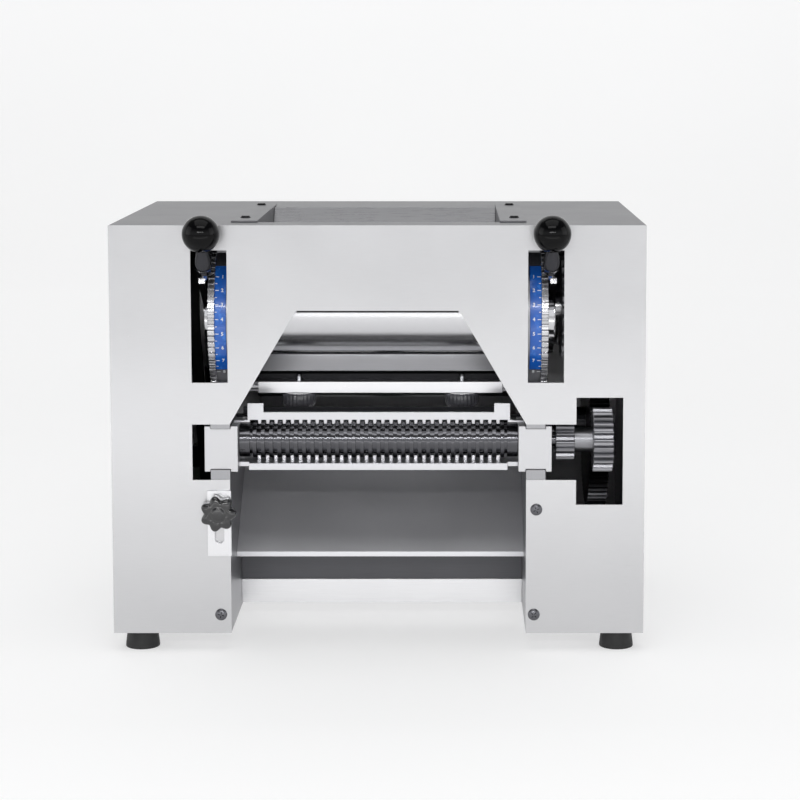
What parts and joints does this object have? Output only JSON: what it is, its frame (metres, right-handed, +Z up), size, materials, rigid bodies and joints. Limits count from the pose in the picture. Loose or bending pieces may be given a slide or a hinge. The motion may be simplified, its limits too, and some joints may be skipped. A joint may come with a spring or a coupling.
{
  "type": "dough sheeter",
  "caption": "Motor-driven bench dough press with twin smooth rollers, gap levers on toothed quadrants and a slide-out noodle cutter cassette over a sloping chute.",
  "frame": {"origin": "on the bench, under the middle of the machine's bounding box", "axes": "+X to the operator's right, +Y away from the operator towards the rear panel, +Z up"},
  "size_m": [0.43, 0.334, 0.3574],
  "materials": {
    "stainless_panel": "brushed",
    "frame_steel": "ground",
    "polished_chrome": "mirror polished",
    "machined_steel": "turned",
    "gear_steel": "oiled, machined",
    "bright_zinc": "zinc plated",
    "cast_alloy": "satin",
    "black_steel": "satin black",
    "black_plastic": "gloss",
    "star_plastic": "semi gloss",
    "scale_blue": "printed",
    "black_rubber": "matt",
    "belt_rubber": "matt",
    "motor_paint": "semi gloss",
    "bronze": "sintered",
    "black_screw": "blackened"
  },
  "bodies": {
    "machine": {"front_panel": "stainless_panel", "side_panels": "stainless_panel", "bottom_plates": "stainless_panel", "hopper_cheeks": "stainless_panel", "quadrants": "machined_steel", "scale_plates": "scale_blue", "side_frame_left": "frame_steel", "side_frame_right": "frame_steel", "top_panel": "stainless_panel", "rear_panel": "stainless_panel", "tie_rods": "frame_steel", "base_tray": "stainless_panel", "chute": "stainless_panel", "motor_guard": "stainless_panel", "hopper_walls": "stainless_panel", "hopper_screws": "black_screw", "panel_screws": "bright_zinc", "feet": "black_rubber", "motor": "motor_paint", "drive_belt": "belt_rubber", "rear_roller_bearings": "bronze", "scraper_bar": "bright_zinc", "scraper_blade": "stainless_panel", "rear_scraper_bar": "bright_zinc", "rear_scraper_blade": "stainless_panel", "idler_stud": "machined_steel", "power_inlet": "black_plastic", "switch_frame": "black_plastic"},
    "left_lever": {"eccentric_bush_left": "machined_steel", "gap_lever_left": "polished_chrome", "ball_knob_left": "black_plastic"},
    "right_lever": {"eccentric_bush_right": "machined_steel", "gap_lever_right": "polished_chrome", "ball_knob_right": "black_plastic"},
    "front_carriage": {"front_roller_bearings": "bronze"},
    "front_roller": {"front_press_roller": "polished_chrome", "front_press_gear": "gear_steel"},
    "rear_roller": {"rear_press_roller": "polished_chrome", "rear_press_gear": "gear_steel", "roller_drive_gear": "gear_steel", "roller_pulley": "cast_alloy"},
    "motor_rotor": {"motor_shaft": "machined_steel", "motor_pulley": "cast_alloy"},
    "idler": {"idler_gear": "gear_steel"},
    "cutter_cassette": {"cutter_block_left": "cast_alloy", "cutter_block_right": "cast_alloy", "upper_comb": "bright_zinc", "rear_comb": "black_steel", "lower_comb": "bright_zinc", "comb_screws": "bright_zinc"},
    "front_cutter": {"cutter_roller_front": "machined_steel", "cutter_drive_gear": "gear_steel", "cutter_mesh_gear_front": "gear_steel"},
    "rear_cutter": {"cutter_roller_rear": "machined_steel", "cutter_mesh_gear_rear": "gear_steel"},
    "keeper": {"keeper_plate": "bright_zinc"},
    "star": {"star_knob": "star_plastic"},
    "left_scraper_knob": {"scraper_knob_left": "black_plastic"},
    "right_scraper_knob": {"scraper_knob_right": "black_plastic"},
    "rocker": {"switch_rocker": "black_plastic"}
  },
  "joints": [
    {"name": "left_lever_turn", "type": "hinge", "parent": "machine", "child": "left_lever", "pos_m": [-0.139, -0.058, 0.26824], "axis": [1, 0, 0], "range_deg": [0, 55]},
    {"name": "right_lever_turn", "type": "hinge", "parent": "machine", "child": "right_lever", "pos_m": [0.139, -0.058, 0.26824], "axis": [1, 0, 0], "range_deg": [0, 55]},
    {"name": "front_roller_shift", "type": "slide", "parent": "machine", "child": "front_carriage", "axis": [0, -1, 0], "range_m": [0, 0.006]},
    {"name": "front_roller_spin", "type": "hinge", "parent": "front_carriage", "child": "front_roller", "pos_m": [0, -0.055, 0.274], "axis": [1, 0, 0], "continuous": true},
    {"name": "rear_roller_spin", "type": "hinge", "parent": "machine", "child": "rear_roller", "pos_m": [0, 0.022, 0.274], "axis": [1, 0, 0], "continuous": true},
    {"name": "motor_spin", "type": "hinge", "parent": "machine", "child": "motor_rotor", "pos_m": [0, 0.071, 0.078], "axis": [1, 0, 0], "continuous": true},
    {"name": "idler_spin", "type": "hinge", "parent": "machine", "child": "idler", "pos_m": [0.176, -0.017, 0.17115], "axis": [1, 0, 0], "continuous": true},
    {"name": "cassette_slide", "type": "slide", "parent": "machine", "child": "cutter_cassette", "axis": [0, 1, 0], "range_m": [-0.09, 0]},
    {"name": "front_cutter_spin", "type": "hinge", "parent": "cutter_cassette", "child": "front_cutter", "pos_m": [0, -0.111, 0.17115], "axis": [1, 0, 0], "continuous": true},
    {"name": "rear_cutter_spin", "type": "hinge", "parent": "cutter_cassette", "child": "rear_cutter", "pos_m": [0, -0.083, 0.17115], "axis": [1, 0, 0], "continuous": true},
    {"name": "keeper_slide", "type": "slide", "parent": "machine", "child": "keeper", "axis": [0, 0, 1], "range_m": [0, 0.021]},
    {"name": "star_knob_turn", "type": "hinge", "parent": "machine", "child": "star", "pos_m": [-0.1281, -0.143, 0.1162], "axis": [0, 1, 0], "range_deg": [-180, 180]},
    {"name": "left_scraper_knob_turn", "type": "hinge", "parent": "machine", "child": "left_scraper_knob", "pos_m": [-0.068, -0.065, 0.201], "axis": [0, 0, 1], "range_deg": [-180, 180]},
    {"name": "right_scraper_knob_turn", "type": "hinge", "parent": "machine", "child": "right_scraper_knob", "pos_m": [0.068, -0.065, 0.201], "axis": [0, 0, 1], "range_deg": [-180, 180]},
    {"name": "switch_tip", "type": "hinge", "parent": "machine", "child": "rocker", "pos_m": [-0.1695, 0.16, 0.11], "axis": [1, 0, 0], "range_deg": [-6, 6]}
  ],
  "couplings": [
    {"joint": "right_lever_turn", "follows": "left_lever_turn", "ratio": 1},
    {"joint": "front_roller_shift", "follows": "left_lever_turn", "m_per_rad": 0.00625},
    {"joint": "front_roller_spin", "follows": "rear_roller_spin", "ratio": -1},
    {"joint": "motor_spin", "follows": "rear_roller_spin", "ratio": 3.5},
    {"joint": "idler_spin", "follows": "rear_roller_spin", "ratio": -0.57143},
    {"joint": "front_cutter_spin", "follows": "rear_roller_spin", "ratio": 1.6667},
    {"joint": "rear_cutter_spin", "follows": "rear_roller_spin", "ratio": -1.6667}
  ]
}
